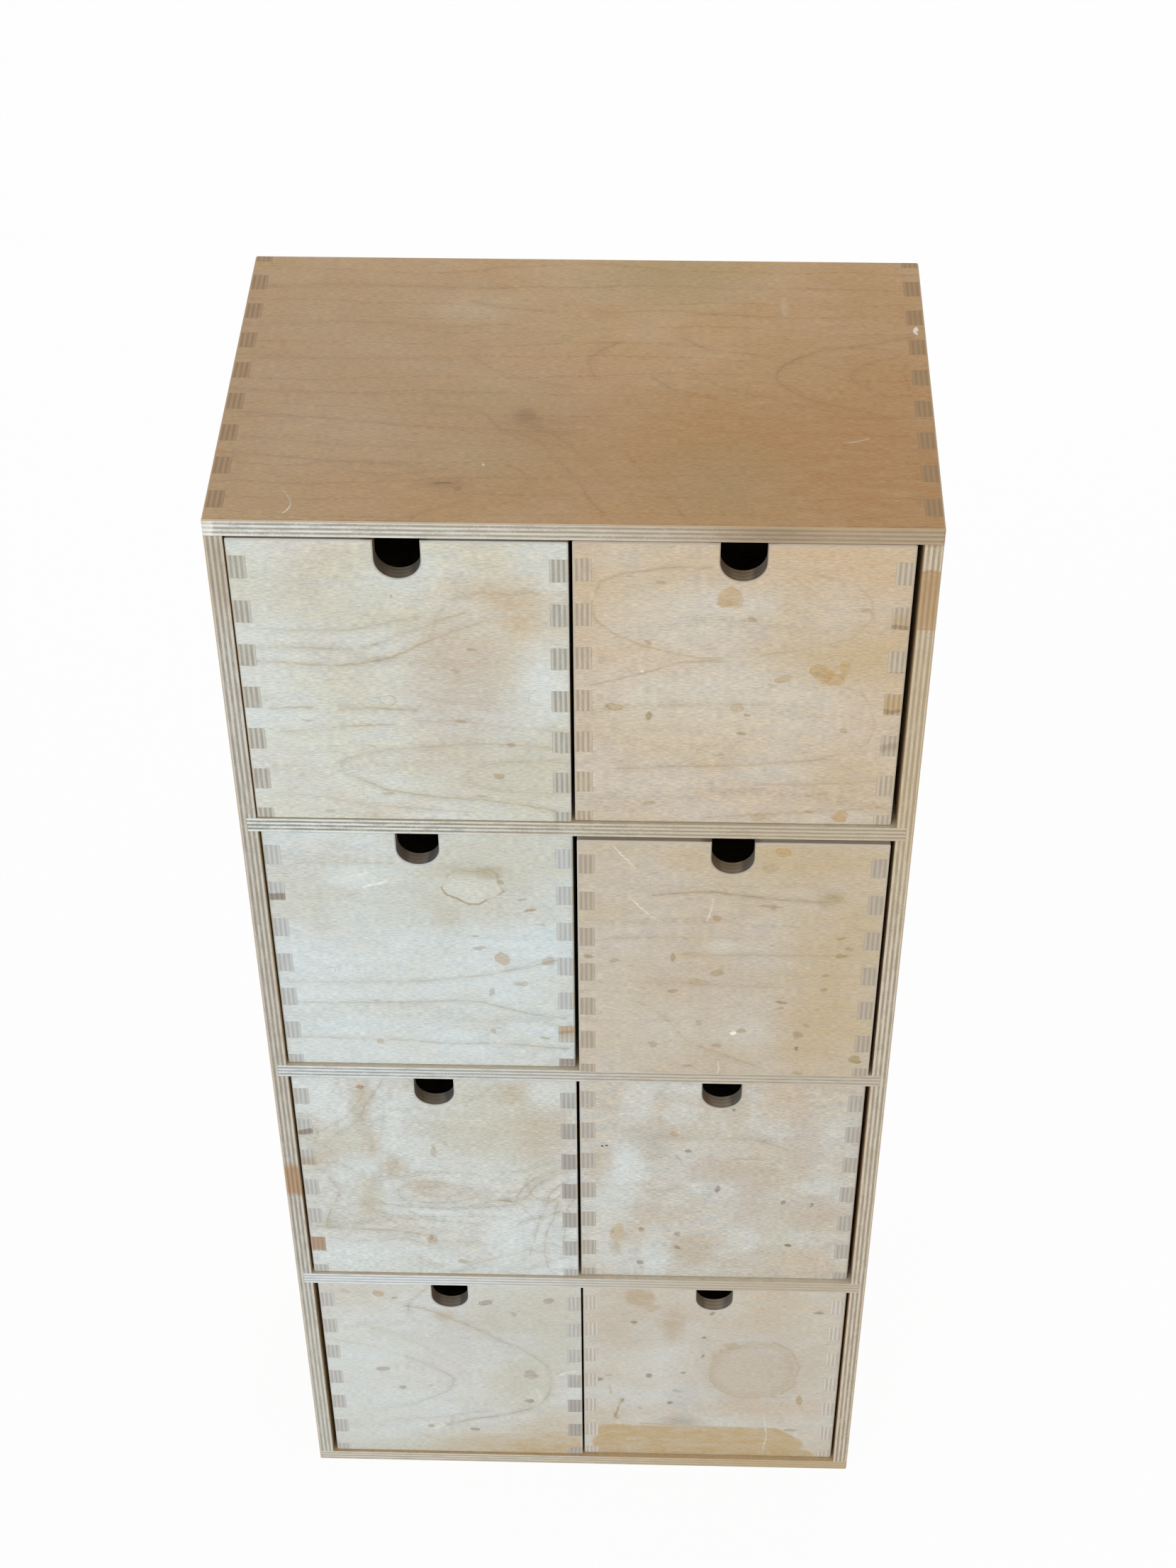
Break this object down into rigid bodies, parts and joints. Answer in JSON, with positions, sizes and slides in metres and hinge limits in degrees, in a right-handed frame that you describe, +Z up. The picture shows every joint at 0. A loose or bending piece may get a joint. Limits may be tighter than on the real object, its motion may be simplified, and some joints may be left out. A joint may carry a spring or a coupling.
{
  "type": "drawer organizer",
  "caption": "Tall narrow plywood cabinet with box-jointed corners and rows of loose finger-notch drawers for craft supplies and small parts.",
  "frame": {"origin": "under the middle of the base, on the surface that the cabinet stands on", "axes": "+Z up, front towards -Y, +X to the right as seen from the front"},
  "size_m": [0.31, 0.2073, 0.684],
  "materials": {
    "carcase_ply": "bare sanded birch plywood",
    "drawer_front_ply": "bare sanded birch plywood",
    "drawer_ply": "bare sanded birch plywood",
    "thin_ply": "bare thin birch plywood"
  },
  "bodies": {
    "carcase": {"top_panel": "carcase_ply", "bottom_panel": "carcase_ply", "left_side": "carcase_ply", "right_side": "carcase_ply", "upper_shelf": "carcase_ply", "middle_shelf": "carcase_ply", "lower_shelf": "carcase_ply", "back_panel": "thin_ply"},
    "row1_left_drawer": {"row1_left_drawer_front": "drawer_front_ply", "row1_left_drawer_back": "drawer_ply", "row1_left_drawer_left_side": "drawer_ply", "row1_left_drawer_right_side": "drawer_ply", "row1_left_drawer_bottom": "thin_ply"},
    "row1_right_drawer": {"row1_right_drawer_front": "drawer_front_ply", "row1_right_drawer_back": "drawer_ply", "row1_right_drawer_left_side": "drawer_ply", "row1_right_drawer_right_side": "drawer_ply", "row1_right_drawer_bottom": "thin_ply"},
    "row2_left_drawer": {"row2_left_drawer_front": "drawer_front_ply", "row2_left_drawer_back": "drawer_ply", "row2_left_drawer_left_side": "drawer_ply", "row2_left_drawer_right_side": "drawer_ply", "row2_left_drawer_bottom": "thin_ply"},
    "row2_right_drawer": {"row2_right_drawer_front": "drawer_front_ply", "row2_right_drawer_back": "drawer_ply", "row2_right_drawer_left_side": "drawer_ply", "row2_right_drawer_right_side": "drawer_ply", "row2_right_drawer_bottom": "thin_ply"},
    "row3_left_drawer": {"row3_left_drawer_front": "drawer_front_ply", "row3_left_drawer_back": "drawer_ply", "row3_left_drawer_left_side": "drawer_ply", "row3_left_drawer_right_side": "drawer_ply", "row3_left_drawer_bottom": "thin_ply"},
    "row3_right_drawer": {"row3_right_drawer_front": "drawer_front_ply", "row3_right_drawer_back": "drawer_ply", "row3_right_drawer_left_side": "drawer_ply", "row3_right_drawer_right_side": "drawer_ply", "row3_right_drawer_bottom": "thin_ply"},
    "row4_left_drawer": {"row4_left_drawer_front": "drawer_front_ply", "row4_left_drawer_back": "drawer_ply", "row4_left_drawer_left_side": "drawer_ply", "row4_left_drawer_right_side": "drawer_ply", "row4_left_drawer_bottom": "thin_ply"},
    "row4_right_drawer": {"row4_right_drawer_front": "drawer_front_ply", "row4_right_drawer_back": "drawer_ply", "row4_right_drawer_left_side": "drawer_ply", "row4_right_drawer_right_side": "drawer_ply", "row4_right_drawer_bottom": "thin_ply"}
  },
  "joints": [
    {"name": "row1_left_drawer_slide", "type": "slide", "parent": "carcase", "child": "row1_left_drawer", "axis": [0, -1, 0], "range_m": [-0.00264, 0.1447]},
    {"name": "row1_right_drawer_slide", "type": "slide", "parent": "carcase", "child": "row1_right_drawer", "axis": [0, -1, 0], "range_m": [-0.00165, 0.1447]},
    {"name": "row2_left_drawer_slide", "type": "slide", "parent": "carcase", "child": "row2_left_drawer", "axis": [0, -1, 0], "range_m": [-0.00105, 0.1447]},
    {"name": "row2_right_drawer_slide", "type": "slide", "parent": "carcase", "child": "row2_right_drawer", "axis": [0, -1, 0], "range_m": [-0.00426, 0.1447]},
    {"name": "row3_left_drawer_slide", "type": "slide", "parent": "carcase", "child": "row3_left_drawer", "axis": [0, -1, 0], "range_m": [-0.00165, 0.1447]},
    {"name": "row3_right_drawer_slide", "type": "slide", "parent": "carcase", "child": "row3_right_drawer", "axis": [0, -1, 0], "range_m": [-0.00045, 0.1447]},
    {"name": "row4_left_drawer_slide", "type": "slide", "parent": "carcase", "child": "row4_left_drawer", "axis": [0, -1, 0], "range_m": [-0.00165, 0.1447]},
    {"name": "row4_right_drawer_slide", "type": "slide", "parent": "carcase", "child": "row4_right_drawer", "axis": [0, -1, 0], "range_m": [-0.00045, 0.1447]}
  ]
}
